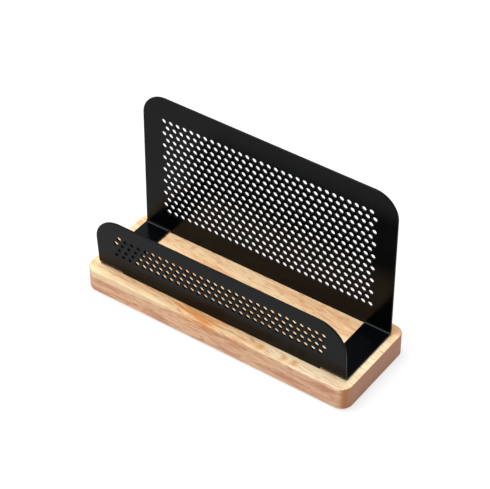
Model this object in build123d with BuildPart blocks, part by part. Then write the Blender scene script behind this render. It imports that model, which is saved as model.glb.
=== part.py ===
# Desk stand for business cards: a wood block that carries one folded sheet of perforated steel.
# Millimetres. X runs along the width, -Y faces the user, +Z is up and the feet stand on z = 0.
import os
from math import cos, radians, sin, tan

from build123d import *

# Folded sheet
sheet = 0.8
bend_radius = 1.0
rim_radius = 0.2
rack_width = 106.5
rack_depth = 29.1
strap_width = 10.5
relief_width = 0.3
skirt_gap = 0.1
edge_tolerance = 0.01

# Panels, with heights measured from the top of the wood and leans away from the cards
back_height = 60.2
back_lean = 0.4
back_corner_radius = 9.7
front_height = 23.8
front_lean = 3.8
front_corner_radius = 11.1

# Perforation: staggered rows of round holes
hole_diameter = 2.0
hole_pitch = 3.0
row_pitch = 2.7
side_margin = 8.9
back_top_margin = 10.0
front_top_margin = 7.0
foot_margin = 8.2

# Wood base, which stands out past the sheet on every side
base_height = 9.35
base_side_border = 3.2
base_front_border = 4.85
base_corner_radius = 4.5
base_edge_radius = 0.5

# Rubber feet, let into the underside of the base
foot_diameter = 8.0
foot_thickness = 1.2
foot_recess = 0.6
foot_edge_radius = 0.3
foot_inset = 8.5
foot_clearance = 0.2

# Weld studs under the straps, with a washer and a nut in a pocket of the base
stud_diameter = 3.0
stud_end_chamfer = 0.3
flange_diameter = 4.2
flange_thickness = 0.8
thread_end = 0.6
washer_diameter = 7.0
washer_thickness = 0.5
nut_width = 5.5
nut_height = 2.4
nut_crown_angle = 30.0
stud_clearance = 0.2
thread_clearance = 0.05
flange_clearance = 0.3
pocket_clearance = 0.75
pocket_cover = 1.5

# Levels and places that follow from the sizes above
wood_bottom = foot_thickness - foot_recess
wood_top = wood_bottom + base_height
base_length = rack_width + 2 * base_side_border
base_depth = rack_depth + 2 * base_front_border
stud_x = (rack_width - strap_width) / 2
foot_x = base_length / 2 - foot_inset
foot_y = base_depth / 2 - foot_inset
pocket_diameter = washer_diameter + 2 * pocket_clearance
pocket_depth = washer_thickness + nut_height + thread_end + pocket_cover
washer_bottom = wood_bottom + pocket_depth - washer_thickness
nut_bottom = washer_bottom - nut_height
stud_bottom = nut_bottom - thread_end
nut_corner = nut_width / 2 / cos(radians(30))
crown_drop = (nut_corner - nut_width / 2) * tan(radians(nut_crown_angle))
window_half = rack_width / 2 - strap_width
bend_height = bend_radius + sheet
hole_columns = int((rack_width - 2 * side_margin) / hole_pitch - 0.5) + 1

os.makedirs("parts", exist_ok=True)


def outer_y(side, lean, height):
    """Depth of a panel's outer face at a height above the wood; side is -1 in front and 1 behind."""
    return side * (rack_depth / 2 + tan(radians(lean)) * height)


def panel_plane(side, lean, height):
    """Plane on a panel's outer face, with its origin on the top edge and +Y down the panel."""
    top_edge = (0, outer_y(side, lean, height), wood_top + height)
    return Plane(origin=top_edge, x_dir=(1, 0, 0), z_dir=(0, cos(radians(lean)), -side * sin(radians(lean))))


# The sheet folded to a U: front panel down, floor back, back panel up
with BuildPart() as card_rack:
    with BuildSketch(Plane.YZ):
        with BuildLine():
            FilletPolyline(
                (outer_y(-1, front_lean, front_height), wood_top + front_height),
                (-rack_depth / 2, wood_top),
                (rack_depth / 2, wood_top),
                (outer_y(1, back_lean, back_height), wood_top + back_height),
                radius=bend_height,
            )
            offset(amount=sheet, side=Side.LEFT)
        make_face()
    extrude(amount=rack_width / 2, both=True)

    # Round upper corners of the two panels
    short_edges = card_rack.edges().filter_by(lambda edge: abs(edge.length - sheet) < edge_tolerance)
    top_corners = short_edges.sort_by(Axis.Z)
    fillet(top_corners[-2:], back_corner_radius)
    fillet(top_corners[:2], front_corner_radius)

    # Soft rim all round the blank, without the short edges across it and the lines along the bends
    outline = card_rack.edges().filter_by(lambda edge: abs(edge.length - sheet) > edge_tolerance)
    fillet(outline.filter_by(lambda edge: edge.length < rack_width - edge_tolerance), rim_radius)

    # Window in the floor, which leaves one strap at each end
    with BuildSketch(Plane.XY.offset(wood_top)):
        Rectangle(2 * window_half, 2 * rack_depth)
    extrude(amount=bend_height, mode=Mode.SUBTRACT)

    # Panels run straight down to the wood inside the window
    for side, lean in ((-1, front_lean), (1, back_lean)):
        across = -side * sheet / cos(radians(lean))
        low_y = outer_y(side, lean, skirt_gap)
        high_y = outer_y(side, lean, bend_height)
        with BuildSketch(Plane.YZ):
            with BuildLine():
                Polyline(
                    (low_y, wood_top + skirt_gap),
                    (high_y, wood_top + bend_height),
                    (high_y + across, wood_top + bend_height),
                    (low_y + across, wood_top + skirt_gap),
                    close=True,
                )
            make_face()
        extrude(amount=window_half, both=True)

    # Relief slit as tall as the bend at the foot of each panel, beside each strap
    with BuildSketch(Plane.XY.offset(wood_top)):
        with GridLocations(2 * window_half - relief_width, 1, 2, 1):
            Rectangle(relief_width, 2 * rack_depth)
    extrude(amount=bend_height, mode=Mode.SUBTRACT)

    # Staggered holes; the first row of the back panel starts left and that of the front panel right
    for side, lean, height, top_margin in (
        (1, back_lean, back_height, back_top_margin),
        (-1, front_lean, front_height, front_top_margin),
    ):
        rows = int((height / cos(radians(lean)) - top_margin - foot_margin) / row_pitch) + 1
        with BuildSketch(panel_plane(side, lean, height)):
            for row in range(rows):
                stagger = -side * (-1) ** row * hole_pitch / 4
                with Locations((stagger, top_margin + row * row_pitch)):
                    with GridLocations(hole_pitch, row_pitch, hole_columns, 1):
                        Circle(hole_diameter / 2)
        extrude(amount=2 * sheet, both=True, mode=Mode.SUBTRACT)
card_rack.part.label = "card_rack"
export_step(card_rack.part, "parts/card_rack.step")

# Wood block with seats for the feet and stepped holes for the studs
with BuildPart() as wood_base:
    with BuildSketch(Plane.XY.offset(wood_bottom)):
        RectangleRounded(base_length, base_depth, base_corner_radius)
    extrude(amount=base_height)
    outer_edges = wood_base.edges().group_by(Axis.Z)
    fillet(outer_edges[0] + outer_edges[-1], base_edge_radius)
    with BuildSketch(Plane.XY.offset(wood_bottom)):
        with GridLocations(2 * foot_x, 2 * foot_y, 2, 2):
            Circle(foot_diameter / 2 + foot_clearance)
    extrude(amount=foot_recess, mode=Mode.SUBTRACT)
    with BuildSketch(Plane.XY.offset(wood_bottom)):
        with GridLocations(2 * stud_x, 1, 2, 1):
            Circle(pocket_diameter / 2)
    extrude(amount=pocket_depth, mode=Mode.SUBTRACT)
    with BuildSketch(Plane.XY.offset(wood_bottom)):
        with GridLocations(2 * stud_x, 1, 2, 1):
            Circle(stud_diameter / 2 + stud_clearance)
    extrude(amount=base_height, mode=Mode.SUBTRACT)
    with BuildSketch(Plane.XY.offset(wood_top)):
        with GridLocations(2 * stud_x, 1, 2, 1):
            Circle(flange_diameter / 2 + flange_clearance)
    extrude(amount=-flange_thickness - stud_clearance, mode=Mode.SUBTRACT)
wood_base.part.label = "wood_base"
export_step(wood_base.part, "parts/wood_base.step")

# Fixing under each strap: stud, washer and nut
for name, x in (("left", -stud_x), ("right", stud_x)):
    with BuildPart() as stud:
        with BuildSketch(Plane.XY.offset(wood_top)):
            with Locations((x, 0)):
                Circle(flange_diameter / 2)
        extrude(amount=-flange_thickness)
        with BuildSketch(Plane.XY.offset(stud_bottom)):
            with Locations((x, 0)):
                Circle(stud_diameter / 2)
        extrude(amount=wood_top - stud_bottom)
        chamfer(stud.edges().group_by(Axis.Z)[0], stud_end_chamfer)
    stud.part.label = f"{name}_stud"
    export_step(stud.part, f"parts/{name}_stud.step")

    with BuildPart() as washer:
        with BuildSketch(Plane.XY.offset(washer_bottom)):
            with Locations((x, 0)):
                Circle(washer_diameter / 2)
                Circle(stud_diameter / 2 + thread_clearance, mode=Mode.SUBTRACT)
        extrude(amount=washer_thickness)
    washer.part.label = f"{name}_washer"
    export_step(washer.part, f"parts/{name}_washer.step")

    with BuildPart() as nut:
        with BuildSketch(Plane.XY.offset(nut_bottom)):
            with Locations((x, 0)):
                RegularPolygon(nut_width / 2, 6, major_radius=False)
                Circle(stud_diameter / 2 + thread_clearance, mode=Mode.SUBTRACT)
        extrude(amount=nut_height)
        # A cone turned at each end takes off the six corners
        with BuildSketch(Plane.XZ):
            with BuildLine():
                Polyline(
                    (x, nut_bottom),
                    (x + nut_width / 2, nut_bottom),
                    (x + nut_corner, nut_bottom + crown_drop),
                    (x + nut_corner, washer_bottom - crown_drop),
                    (x + nut_width / 2, washer_bottom),
                    (x, washer_bottom),
                    close=True,
                )
            make_face()
        revolve(axis=Axis((x, 0, 0), (0, 0, 1)), mode=Mode.INTERSECT)
    nut.part.label = f"{name}_nut"
    export_step(nut.part, f"parts/{name}_nut.step")

# Round rubber pads, seated in the underside of the base
for depth_name, y in (("front", -foot_y), ("back", foot_y)):
    for width_name, x in (("left", -foot_x), ("right", foot_x)):
        with BuildPart() as foot:
            with BuildSketch(Plane.XY):
                with Locations((x, y)):
                    Circle(foot_diameter / 2)
            extrude(amount=foot_thickness)
            fillet(foot.edges().group_by(Axis.Z)[0], foot_edge_radius)
        foot.part.label = f"{depth_name}_{width_name}_foot"
        export_step(foot.part, f"parts/{depth_name}_{width_name}_foot.step")
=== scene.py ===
import math

import bmesh
import bpy
from bpy.props import FloatProperty, FloatVectorProperty, PointerProperty, StringProperty
from bpy.types import Operator, Panel, PropertyGroup
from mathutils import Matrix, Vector


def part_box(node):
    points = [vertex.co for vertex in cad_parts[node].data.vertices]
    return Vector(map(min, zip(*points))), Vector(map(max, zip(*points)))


bl_info = {
    "name": "Business Card Stand",
    "version": (1, 0, 0),
    "blender": (4, 5, 0),
    "location": "View3D > Sidebar > Card Stand",
    "description": "Dresses a perforated steel card rack on its wood base",
    "category": "Object",
}

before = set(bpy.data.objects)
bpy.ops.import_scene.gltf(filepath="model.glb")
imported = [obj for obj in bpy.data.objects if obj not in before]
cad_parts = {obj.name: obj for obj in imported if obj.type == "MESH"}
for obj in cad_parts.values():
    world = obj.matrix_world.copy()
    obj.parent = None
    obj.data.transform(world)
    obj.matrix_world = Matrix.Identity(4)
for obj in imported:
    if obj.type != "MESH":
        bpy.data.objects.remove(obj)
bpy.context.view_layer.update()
MM = 0.001

# Colour sockets of a Mix node, whose names its other sockets have too
MIX_A = 6
MIX_B = 7
MIXED = 2

# Growth bands spread wider than they are deep, and the wood turns paler towards the right front
BAND_SPREAD = 1.6
PALE_WAY = Vector((1, -1.2, 0))
PALE_START = 34 * MM
PALE_END = 46 * MM

# Levels of the noise between which each pattern fades in
BAND_LEVELS = (0.42, 0.68)
STREAK_LEVELS = (0.46, 0.68)
PORE_LEVELS = (0.58, 0.74)

# Marks along the front of the wood: where each lies, how far it reaches, how much the grain frays it,
# and between which distances, counted in reaches, it fades in
WOOD_LOW, WOOD_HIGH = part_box("wood_base")
SAPWOOD = Vector((WOOD_LOW.x - 3.5 * MM, WOOD_LOW.y - 1.6 * MM, WOOD_HIGH.z + 2 * MM))
SAPWOOD_REACH = Vector((57 * MM, 4.6 * MM, 5.4 * MM))
SAPWOOD_FRAY = 0.3
SAPWOOD_FADE = (0.87, 0.83)
FLAME = Vector((-5 * MM, WOOD_LOW.y + 2.3 * MM, WOOD_HIGH.z))
FLAME_REACH = Vector((14 * MM, 3.6 * MM, 4 * MM))
FLAME_FRAY = 4.5
FLAME_FADE = (-1, -2)
KNOT_LINE = WOOD_LOW.y + 2.2 * MM
KNOTS = tuple(Vector((x * MM, KNOT_LINE, WOOD_HIGH.z)) for x in (19.7, 29.5, 33.8))
KNOT_FRAY = 2 * MM

# How squarely a face looks along the grain where the corners and the sawn ends fade in, and the ends' rays
CORNER_FACING = (0.3, 0.7)
END_FACING = (0.75, 0.98)
RAY_SIZE = Vector((2.5 * MM, 1.2 * MM, 5 * MM))

# Fine relief and clouding of the surfaces
PORE_RELIEF = 0.05 * MM
COAT_RELIEF = 0.04 * MM
ZINC_CLOUD = 0.8 * MM
RUBBER_GRIT = 0.3 * MM
RUBBER_RELIEF = 0.04 * MM

# Stage, with its lengths in metres
WHITE = (1, 1, 1, 1)
FLOOR_REACH = 3.0
SOFT_BOX_PLACE = Vector((-0.24, -0.09, 0.87))


# Settings

class WoodSettings(PropertyGroup):
    """Colours and grain of the oiled wood base."""
    pale: StringProperty(
        name="Early wood", description="Colour of the broad pale bands", default="#F3D3A6")
    tan: StringProperty(
        name="Late wood", description="Colour of the narrow darker bands", default="#E8B988")
    sapwood: StringProperty(
        name="Sapwood", description="Colour of the creamy wood at the left of the front", default="#F7DCB0")
    cream: StringProperty(
        name="Cream", description="Colour of the palest wood at the right front", default="#FFEBC4")
    flame: StringProperty(
        name="Flame", description="Colour of the darker wood beyond the sapwood's tip", default="#E0954F")
    # Side tones below the top layer: pinker wood, made darker than the top to paint the shade that falls on
    # the sides
    side_pink_and_shade: StringProperty(
        name="Heartwood", description="Pinker colour below the top layer", default="#EDC29C")
    side_bands_and_shade: StringProperty(
        name="Heartwood bands", description="Colour of the darker bands below the top layer",
        default="#CD9272")
    streak: StringProperty(
        name="Streaks", description="Colour of the fine fibre streaks", default="#C98450")
    pore: StringProperty(
        name="Pores", description="Colour of the short open vessels", default="#BC6636")
    knot: StringProperty(
        name="Knot", description="Colour of the pin knots", default="#DCA04A")
    corner: StringProperty(
        name="Corners", description="Colour where fibres are cut aslant", default="#C47F4F")
    end_grain: StringProperty(
        name="End grain", description="Colour of the sawn ends", default="#C09482")
    cream_cover: FloatProperty(
        name="Cream cover", description="How far the cream hides the bands",
        default=0.85, subtype="FACTOR")
    sapwood_cover: FloatProperty(
        name="Sapwood cover", description="How far the sapwood hides the wood below it",
        default=0.9, subtype="FACTOR")
    flame_cover: FloatProperty(
        name="Flame cover", description="How far the flame hides the wood below it",
        default=0.9, subtype="FACTOR")
    knot_cover: FloatProperty(
        name="Knot cover", description="How far a knot hides the wood below it",
        default=0.8, subtype="FACTOR")
    streak_cover: FloatProperty(
        name="Streak cover", description="How dark the streaks are", default=0.3, subtype="FACTOR")
    pore_cover: FloatProperty(
        name="Pore cover", description="How dark the vessels are", default=0.5, subtype="FACTOR")
    sapwood_pore_cover: FloatProperty(
        name="Sapwood pore cover", description="How dark the vessels are in the sapwood",
        default=0.05, subtype="FACTOR")
    roughness: FloatVectorProperty(
        name="Roughness", description="Between the streaks and on them", default=(0.45, 0.6), size=2)
    gloss: FloatProperty(
        name="Gloss", description="Strength of the oil's shine", default=0.3, subtype="FACTOR")
    grain_dip: FloatProperty(
        name="Grain dip", description="How far the grain dips to the right",
        default=math.radians(1.5), subtype="ANGLE")
    grain_turn: FloatProperty(
        name="Grain turn", description="How far the grain runs to the front on the right",
        default=math.radians(-6), subtype="ANGLE")
    band_width: FloatProperty(
        name="Band width", description="Width of a soft growth band", default=2.4 * MM, unit="LENGTH")
    band_length: FloatProperty(
        name="Band length", description="Length of a soft growth band", default=24 * MM, unit="LENGTH")
    # Depth below the top where the pinker side tone, with its painted shade, begins
    side_tone_depth: FloatProperty(
        name="Heartwood depth", description="From the top of the base to the pinker wood",
        default=1.6 * MM, unit="LENGTH")
    knot_size: FloatProperty(
        name="Knot size", description="From the middle of a knot to plain wood",
        default=2.4 * MM, unit="LENGTH")
    streak_width: FloatProperty(
        name="Streak width", description="Width of a fibre streak", default=0.4 * MM, unit="LENGTH")
    streak_length: FloatProperty(
        name="Streak length", description="Length of a fibre streak along the grain",
        default=6.5 * MM, unit="LENGTH")
    pore_width: FloatProperty(
        name="Pore width", description="Width of a vessel, drawn coarse enough to show",
        default=0.32 * MM, unit="LENGTH")
    pore_length: FloatProperty(
        name="Pore length", description="Length of a vessel along the grain",
        default=2.6 * MM, unit="LENGTH")


class CoatSettings(PropertyGroup):
    """Black powder coat of the folded sheet."""
    black: StringProperty(name="Coat", description="Colour of the coat", default="#030507")
    grain: FloatProperty(
        name="Grain", description="Size of the coat's grains, drawn coarse enough to show",
        default=0.4 * MM, unit="LENGTH")
    roughness: FloatVectorProperty(
        name="Roughness", description="Between the grains and on them", default=(0.14, 0.26), size=2)
    gloss: FloatProperty(
        name="Gloss", description="Strength of the coat's shine", default=0.095, subtype="FACTOR")


class FixingSettings(PropertyGroup):
    """Zinc-plated fixings and rubber feet below the base."""
    zinc: StringProperty(name="Zinc", description="Colour of the plating", default="#B4B8BC")
    zinc_roughness: FloatVectorProperty(
        name="Zinc roughness", description="Of the clear and the cloudy plating",
        default=(0.22, 0.45), size=2)
    rubber: StringProperty(name="Rubber", description="Colour of the feet", default="#1B1B1C")
    rubber_roughness: FloatVectorProperty(
        name="Rubber roughness", description="Between the grit and on it", default=(0.7, 0.9), size=2)


class StageSettings(PropertyGroup):
    """Camera, light and floor."""
    azimuth: FloatProperty(
        name="Azimuth", description="Camera angle to the right of the front",
        default=math.radians(35.26), subtype="ANGLE")
    elevation: FloatProperty(
        name="Elevation", description="Camera angle above the floor",
        default=math.radians(40.52), subtype="ANGLE")
    distance: FloatProperty(
        name="Distance", description="From the camera to the point it looks at",
        default=752.9 * MM, unit="LENGTH")
    lens: FloatProperty(
        name="Lens", description="Focal length on a 36 mm sensor", default=148.3, unit="CAMERA")
    aim_x: FloatProperty(
        name="Aim X", description="Point looked at, along the width", default=-22.07 * MM, unit="LENGTH")
    aim_y: FloatProperty(
        name="Aim Y", description="Point looked at, along the depth", default=32.64 * MM, unit="LENGTH")
    aim_z: FloatProperty(
        name="Aim Z", description="Point looked at, above the floor", default=1.03 * MM, unit="LENGTH")
    floor: StringProperty(
        name="Floor", description="Colour of the floor that lights the object", default="#E4E4E4")
    seen_floor: StringProperty(
        name="Seen floor", description="Colour of the floor that takes the shadow", default="#8A8A8A")
    glow: FloatProperty(
        name="Glow", description="Light of the seen floor, which brings it up to white", default=0.76)
    key_power: FloatProperty(
        name="Key power", description="Power of the soft box", default=12.8, unit="POWER")
    soft_box: FloatProperty(
        name="Soft box", description="Edge of the square soft box", default=0.8, unit="LENGTH")
    fill: FloatProperty(name="Fill", description="Strength of the even light all round", default=0.2)


# Shader helpers

def linear(hex_colour):
    """Turn an sRGB hex colour into linear RGBA."""
    parts = [int(hex_colour[i:i + 2], 16) / 255 for i in (1, 3, 5)]
    return [v / 12.92 if v <= 0.04045 else ((v + 0.055) / 1.055) ** 2.4 for v in parts] + [1.0]


def add_node(tree, kind, inputs=None, **settings):
    """Add one node, apply its settings, and fill or link its inputs."""
    node = tree.nodes.new(kind)
    for name, value in settings.items():
        setattr(node, name, value)
    for key, value in (inputs or {}).items():
        if isinstance(value, bpy.types.NodeSocket):
            tree.links.new(value, node.inputs[key])
        else:
            node.inputs[key].default_value = value
    return node


def new_material(name):
    """Empty node material and its tree."""
    material = bpy.data.materials.new(name)
    material.use_nodes = True
    material.node_tree.nodes.clear()
    return material, material.node_tree


def dress(piece, material):
    """Give every face of a piece one material."""
    piece.data.materials.clear()
    piece.data.materials.append(material)


# Materials

def oiled_rubberwood(wood):
    """Planed and oiled rubberwood: soft bands along X, short dark vessels, darker sawn ends."""
    material, tree = new_material("oiled_rubberwood")
    place = add_node(tree, "ShaderNodeTexCoord").outputs["Object"]
    spot = add_node(tree, "ShaderNodeSeparateXYZ", {0: place})
    grain_way = (0, wood.grain_dip, wood.grain_turn)

    # Soft growth bands along the grain, paler at the right front, and below the top layer a pinker, darker
    # side tone that is partly painted shade on the sides
    band_place = add_node(tree, "ShaderNodeMapping", {
        "Vector": place, "Rotation": grain_way,
        "Scale": (wood.band_length, BAND_SPREAD * wood.band_width, wood.band_width)}, vector_type="TEXTURE")
    band = add_node(tree, "ShaderNodeTexNoise", {
        "Vector": band_place.outputs[0], "Scale": 1, "Detail": 3, "Distortion": 0.7})
    band_share = add_node(tree, "ShaderNodeMapRange", {
        "Value": band.outputs[0], "From Min": BAND_LEVELS[0], "From Max": BAND_LEVELS[1]},
        interpolation_type="SMOOTHSTEP")
    top_bands = add_node(tree, "ShaderNodeMix", {
        0: band_share.outputs[0], MIX_A: linear(wood.pale), MIX_B: linear(wood.tan)}, data_type="RGBA")
    side_band_tones_with_shade = add_node(tree, "ShaderNodeMix", {
        0: band_share.outputs[0], MIX_A: linear(wood.side_pink_and_shade), MIX_B: linear(wood.side_bands_and_shade)},
        data_type="RGBA")
    pale_way = add_node(tree, "ShaderNodeVectorMath", {0: place, 1: PALE_WAY}, operation="DOT_PRODUCT")
    pale_share = add_node(tree, "ShaderNodeMapRange", {
        "Value": pale_way.outputs["Value"], "From Min": PALE_START, "From Max": PALE_END,
        "To Max": wood.cream_cover})
    # Painted shade: the sides below the top layer take the darker, pinker tone
    side_tone_and_shade_share = add_node(tree, "ShaderNodeMapRange", {
        "Value": spot.outputs[2], "From Min": WOOD_HIGH.z, "From Max": WOOD_HIGH.z - wood.side_tone_depth})

    # Fibre streaks, which also fray a darker flame and the pin knots along the front margin
    streak_place = add_node(tree, "ShaderNodeMapping", {
        "Vector": place, "Rotation": grain_way,
        "Scale": (wood.streak_length, wood.streak_width, wood.streak_width)}, vector_type="TEXTURE")
    streak = add_node(tree, "ShaderNodeTexNoise", {
        "Vector": streak_place.outputs[0], "Scale": 0.6, "Detail": 3})
    streak_share = add_node(tree, "ShaderNodeMapRange", {
        "Value": streak.outputs[0], "From Min": STREAK_LEVELS[0], "From Max": STREAK_LEVELS[1],
        "To Max": wood.streak_cover})
    flame_place = add_node(tree, "ShaderNodeMapping", {
        "Vector": place, "Location": FLAME, "Scale": FLAME_REACH}, vector_type="TEXTURE")
    flame_gap = add_node(tree, "ShaderNodeVectorMath", {0: flame_place.outputs[0]}, operation="LENGTH")
    flame_edge = add_node(tree, "ShaderNodeMath", {
        0: streak.outputs[0], 1: -FLAME_FRAY, 2: flame_gap.outputs["Value"]}, operation="MULTIPLY_ADD")
    flame_share = add_node(tree, "ShaderNodeMapRange", {
        "Value": flame_edge.outputs[0], "From Min": FLAME_FADE[0], "From Max": FLAME_FADE[1],
        "To Max": wood.flame_cover}, interpolation_type="SMOOTHSTEP")
    knot_shares = []
    for knot in KNOTS:
        knot_gap = add_node(tree, "ShaderNodeVectorMath", {0: place, 1: knot}, operation="DISTANCE")
        knot_edge = add_node(tree, "ShaderNodeMath", {
            0: streak.outputs[0], 1: -KNOT_FRAY, 2: knot_gap.outputs["Value"]}, operation="MULTIPLY_ADD")
        knot_shares.append(add_node(tree, "ShaderNodeMapRange", {
            "Value": knot_edge.outputs[0], "From Min": wood.knot_size - KNOT_FRAY / 2,
            "From Max": -KNOT_FRAY / 2, "To Max": wood.knot_cover}, interpolation_type="SMOOTHSTEP"))

    # Creamy sapwood that runs out to a tip along the front margin, and short open vessels, few in the sapwood
    sap_place = add_node(tree, "ShaderNodeMapping", {
        "Vector": place, "Location": SAPWOOD, "Scale": SAPWOOD_REACH}, vector_type="TEXTURE")
    sap_gap = add_node(tree, "ShaderNodeVectorMath", {0: sap_place.outputs[0]}, operation="LENGTH")
    sap_edge = add_node(tree, "ShaderNodeMath", {
        0: band.outputs[0], 1: -SAPWOOD_FRAY, 2: sap_gap.outputs["Value"]}, operation="MULTIPLY_ADD")
    sap_share = add_node(tree, "ShaderNodeMapRange", {
        "Value": sap_edge.outputs[0], "From Min": SAPWOOD_FADE[0], "From Max": SAPWOOD_FADE[1],
        "To Max": wood.sapwood_cover})
    pore_place = add_node(tree, "ShaderNodeMapping", {
        "Vector": place, "Rotation": grain_way,
        "Scale": (wood.pore_length, wood.pore_width, wood.pore_width)}, vector_type="TEXTURE")
    pore = add_node(tree, "ShaderNodeTexNoise", {
        "Vector": pore_place.outputs[0], "Scale": 0.7, "Detail": 0})
    pore_cover = add_node(tree, "ShaderNodeMapRange", {
        "Value": sap_share.outputs[0], "To Min": wood.pore_cover, "To Max": wood.sapwood_pore_cover})
    pore_share = add_node(tree, "ShaderNodeMapRange", {
        "Value": pore.outputs[0], "From Min": PORE_LEVELS[0], "From Max": PORE_LEVELS[1],
        "To Max": pore_cover.outputs[0]})

    # Sawn ends soak up more oil, most where the corner cuts the fibres aslant, with soft upright rays
    surface_way = add_node(tree, "ShaderNodeNewGeometry").outputs["Normal"]
    normal = add_node(tree, "ShaderNodeSeparateXYZ", {0: surface_way})
    facing = add_node(tree, "ShaderNodeMath", {0: normal.outputs[0]}, operation="ABSOLUTE")
    corner_share = add_node(tree, "ShaderNodeMapRange", {
        "Value": facing.outputs[0], "From Min": CORNER_FACING[0], "From Max": CORNER_FACING[1]},
        interpolation_type="SMOOTHSTEP")
    end_share = add_node(tree, "ShaderNodeMapRange", {
        "Value": facing.outputs[0], "From Min": END_FACING[0], "From Max": END_FACING[1]},
        interpolation_type="SMOOTHSTEP")
    ray_place = add_node(tree, "ShaderNodeMapping", {
        "Vector": place, "Scale": RAY_SIZE}, vector_type="TEXTURE")
    ray = add_node(tree, "ShaderNodeTexNoise", {"Vector": ray_place.outputs[0], "Scale": 1, "Detail": 3})
    ray_tone = add_node(tree, "ShaderNodeMix", {
        0: ray.outputs[0], MIX_A: linear(wood.corner), MIX_B: linear(wood.end_grain)}, data_type="RGBA")

    # Each tone covers those before it by its share
    colour = top_bands
    for share, tone in (
        (pale_share, linear(wood.cream)),
        # the sides' pinker tone, partly painted shade
        (side_tone_and_shade_share, side_band_tones_with_shade.outputs[MIXED]),
        (flame_share, linear(wood.flame)),
        *((knot_share, linear(wood.knot)) for knot_share in knot_shares),
        (sap_share, linear(wood.sapwood)),
        (streak_share, linear(wood.streak)),
        (pore_share, linear(wood.pore)),
        (corner_share, linear(wood.corner)),
        (end_share, ray_tone.outputs[MIXED]),
    ):
        colour = add_node(tree, "ShaderNodeMix", {
            0: share.outputs[0], MIX_A: colour.outputs[MIXED], MIX_B: tone}, data_type="RGBA")

    relief = add_node(tree, "ShaderNodeBump", {
        "Height": pore_share.outputs[0], "Strength": 0.06, "Distance": PORE_RELIEF}, invert=True)
    roughness = add_node(tree, "ShaderNodeMapRange", {
        "Value": streak.outputs[0], "To Min": wood.roughness[0], "To Max": wood.roughness[1]})
    surface = add_node(tree, "ShaderNodeBsdfPrincipled", {
        "Base Color": colour.outputs[MIXED], "Roughness": roughness.outputs[0],
        "Normal": relief.outputs[0], "Specular IOR Level": wood.gloss})
    add_node(tree, "ShaderNodeOutputMaterial", {"Surface": surface.outputs[0]})
    return material


def black_powder_coat(coat):
    """Powder coat baked on steel: near black and satin, with the fine grain of melted powder."""
    material, tree = new_material("black_powder_coat")
    place = add_node(tree, "ShaderNodeTexCoord").outputs["Object"]
    grain = add_node(tree, "ShaderNodeTexNoise", {"Vector": place, "Scale": 1 / coat.grain, "Detail": 2})
    relief = add_node(tree, "ShaderNodeBump", {
        "Height": grain.outputs[0], "Strength": 0.15, "Distance": COAT_RELIEF})
    roughness = add_node(tree, "ShaderNodeMapRange", {
        "Value": grain.outputs[0], "To Min": coat.roughness[0], "To Max": coat.roughness[1]})
    surface = add_node(tree, "ShaderNodeBsdfPrincipled", {
        "Base Color": linear(coat.black), "Roughness": roughness.outputs[0],
        "Normal": relief.outputs[0], "Specular IOR Level": coat.gloss})
    add_node(tree, "ShaderNodeOutputMaterial", {"Surface": surface.outputs[0]})
    return material


def zinc_plated_steel(fixing):
    """Bright zinc plating on small fixings: cool grey metal with slightly cloudy gloss."""
    material, tree = new_material("zinc_plated_steel")
    place = add_node(tree, "ShaderNodeTexCoord").outputs["Object"]
    cloud = add_node(tree, "ShaderNodeTexNoise", {"Vector": place, "Scale": 1 / ZINC_CLOUD, "Detail": 3})
    roughness = add_node(tree, "ShaderNodeMapRange", {
        "Value": cloud.outputs[0], "To Min": fixing.zinc_roughness[0],
        "To Max": fixing.zinc_roughness[1]})
    surface = add_node(tree, "ShaderNodeBsdfPrincipled", {
        "Base Color": linear(fixing.zinc), "Metallic": 1.0, "Roughness": roughness.outputs[0]})
    add_node(tree, "ShaderNodeOutputMaterial", {"Surface": surface.outputs[0]})
    return material


def moulded_rubber(fixing):
    """Moulded rubber pads: dull black with a fine dry grain."""
    material, tree = new_material("moulded_rubber")
    place = add_node(tree, "ShaderNodeTexCoord").outputs["Object"]
    grit = add_node(tree, "ShaderNodeTexNoise", {"Vector": place, "Scale": 1 / RUBBER_GRIT, "Detail": 2})
    relief = add_node(tree, "ShaderNodeBump", {
        "Height": grit.outputs[0], "Strength": 0.3, "Distance": RUBBER_RELIEF})
    roughness = add_node(tree, "ShaderNodeMapRange", {
        "Value": grit.outputs[0], "To Min": fixing.rubber_roughness[0],
        "To Max": fixing.rubber_roughness[1]})
    surface = add_node(tree, "ShaderNodeBsdfPrincipled", {
        "Base Color": linear(fixing.rubber), "Roughness": roughness.outputs[0], "Normal": relief.outputs[0]})
    add_node(tree, "ShaderNodeOutputMaterial", {"Surface": surface.outputs[0]})
    return material


def seen_rays(tree):
    """One for rays that show the background: from the camera, in gloss and through clear things."""
    rays = add_node(tree, "ShaderNodeLightPath")
    mirror = add_node(tree, "ShaderNodeMath", {
        0: rays.outputs["Is Camera Ray"], 1: rays.outputs["Is Glossy Ray"]}, operation="MAXIMUM")
    seen = add_node(tree, "ShaderNodeMath", {
        0: mirror.outputs[0], 1: rays.outputs["Is Transmission Ray"]}, operation="MAXIMUM")
    return seen.outputs[0]


def paper_floor(stage):
    """White paper sweep: reads as white where it is lit and keeps the object's soft shadow."""
    material, tree = new_material("paper_floor")
    plain = add_node(tree, "ShaderNodeBsdfDiffuse", {"Color": linear(stage.floor)})
    shaded = add_node(tree, "ShaderNodeBsdfDiffuse", {"Color": linear(stage.seen_floor)})
    glow = add_node(tree, "ShaderNodeEmission", {"Color": WHITE, "Strength": stage.glow})
    white = add_node(tree, "ShaderNodeAddShader", {0: shaded.outputs[0], 1: glow.outputs[0]})
    mixed = add_node(tree, "ShaderNodeMixShader", {
        0: seen_rays(tree), 1: plain.outputs[0], 2: white.outputs[0]})
    add_node(tree, "ShaderNodeOutputMaterial", {"Surface": mixed.outputs[0]})
    return material


# Operators

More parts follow.
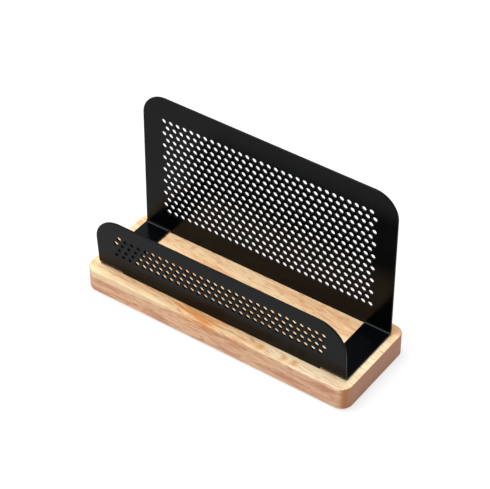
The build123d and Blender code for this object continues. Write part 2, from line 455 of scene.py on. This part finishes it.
class CARDSTAND_OT_wood_base(Operator):
    """Finish the wood base"""
    bl_idname = "cardstand.wood_base"
    bl_label = "Wood base"

    def execute(self, context):
        dress(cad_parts["wood_base"], oiled_rubberwood(context.scene.cardstand_wood))
        return {"FINISHED"}


class CARDSTAND_OT_card_rack(Operator):
    """Coat the folded rack"""
    bl_idname = "cardstand.card_rack"
    bl_label = "Card rack"

    def execute(self, context):
        dress(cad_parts["card_rack"], black_powder_coat(context.scene.cardstand_coat))
        return {"FINISHED"}


class CARDSTAND_OT_fixings(Operator):
    """Plate the studs, washers and nuts"""
    bl_idname = "cardstand.fixings"
    bl_label = "Fixings"

    def execute(self, context):
        material = zinc_plated_steel(context.scene.cardstand_fixing)
        for side in ("left", "right"):
            for piece in ("stud", "washer", "nut"):
                dress(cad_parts[f"{side}_{piece}"], material)
        return {"FINISHED"}


class CARDSTAND_OT_feet(Operator):
    """Finish the rubber feet"""
    bl_idname = "cardstand.feet"
    bl_label = "Feet"

    def execute(self, context):
        material = moulded_rubber(context.scene.cardstand_fixing)
        for end in ("front", "back"):
            for side in ("left", "right"):
                dress(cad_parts[f"{end}_{side}_foot"], material)
        return {"FINISHED"}


class CARDSTAND_OT_stage(Operator):
    """Set the floor, the light and the camera"""
    bl_idname = "cardstand.stage"
    bl_label = "Stage"

    def execute(self, context):
        stage = context.scene.cardstand_stage
        self.lay_floor(context, stage)
        self.light(context, stage)
        self.place_camera(context, stage)
        context.scene.view_settings.view_transform = "Standard"
        return {"FINISHED"}

    def lay_floor(self, context, stage):
        bm = bmesh.new()
        bmesh.ops.create_grid(bm, x_segments=1, y_segments=1, size=FLOOR_REACH)
        mesh = bpy.data.meshes.new("floor")
        bm.to_mesh(mesh)
        bm.free()
        floor = bpy.data.objects.new("floor", mesh)
        context.scene.collection.objects.link(floor)
        dress(floor, paper_floor(stage))

    def light(self, context, stage):
        world = bpy.data.worlds.new("studio")
        context.scene.world = world
        world.use_nodes = True
        tree = world.node_tree
        tree.nodes.clear()
        even = add_node(tree, "ShaderNodeBackground", {"Color": WHITE, "Strength": stage.fill})
        white = add_node(tree, "ShaderNodeBackground", {"Color": WHITE, "Strength": 1.0})
        mixed = add_node(tree, "ShaderNodeMixShader", {
            0: seen_rays(tree), 1: even.outputs[0], 2: white.outputs[0]})
        add_node(tree, "ShaderNodeOutputWorld", {"Surface": mixed.outputs[0]})

        lamp = bpy.data.lights.new("soft_box", "AREA")
        lamp.shape = "SQUARE"
        lamp.size = stage.soft_box
        lamp.energy = stage.key_power
        box = bpy.data.objects.new("soft_box", lamp)
        context.scene.collection.objects.link(box)
        box.location = SOFT_BOX_PLACE
        box.rotation_euler = (-box.location).to_track_quat("-Z", "Y").to_euler()

    def place_camera(self, context, stage):
        data = bpy.data.cameras.new("camera")
        data.lens = stage.lens
        camera = bpy.data.objects.new("camera", data)
        context.scene.collection.objects.link(camera)
        aim = Vector((stage.aim_x, stage.aim_y, stage.aim_z))
        level = math.cos(stage.elevation)
        out = Vector((
            math.sin(stage.azimuth) * level, -math.cos(stage.azimuth) * level, math.sin(stage.elevation)))
        camera.location = aim + stage.distance * out
        camera.rotation_euler = (-out).to_track_quat("-Z", "Y").to_euler()
        context.scene.camera = camera


OPERATORS = (
    CARDSTAND_OT_wood_base,
    CARDSTAND_OT_card_rack,
    CARDSTAND_OT_fixings,
    CARDSTAND_OT_feet,
    CARDSTAND_OT_stage,
)
SETTINGS = {
    "cardstand_wood": WoodSettings,
    "cardstand_coat": CoatSettings,
    "cardstand_fixing": FixingSettings,
    "cardstand_stage": StageSettings,
}


class CARDSTAND_PT_panel(Panel):
    """Sidebar list of the stand's pieces"""
    bl_idname = "CARDSTAND_PT_panel"
    bl_label = "Card Stand"
    bl_space_type = "VIEW_3D"
    bl_region_type = "UI"
    bl_category = "Card Stand"

    def draw(self, context):
        for operator in OPERATORS:
            self.layout.operator(operator.bl_idname)
        for name, group in SETTINGS.items():
            box = self.layout.box()
            box.label(text=group.__doc__)
            for setting in group.__annotations__:
                box.prop(getattr(context.scene, name), setting)


def register():
    for group in SETTINGS.values():
        bpy.utils.register_class(group)
    for name, group in SETTINGS.items():
        setattr(bpy.types.Scene, name, PointerProperty(type=group))
    for operator in OPERATORS:
        bpy.utils.register_class(operator)
    bpy.utils.register_class(CARDSTAND_PT_panel)


def unregister():
    bpy.utils.unregister_class(CARDSTAND_PT_panel)
    for operator in reversed(OPERATORS):
        bpy.utils.unregister_class(operator)
    for name in SETTINGS:
        delattr(bpy.types.Scene, name)
    for group in reversed(SETTINGS.values()):
        bpy.utils.unregister_class(group)


def main():
    register()
    bpy.ops.cardstand.wood_base()
    bpy.ops.cardstand.card_rack()
    bpy.ops.cardstand.fixings()
    bpy.ops.cardstand.feet()
    bpy.ops.cardstand.stage()


if __name__ == "__main__":
    main()
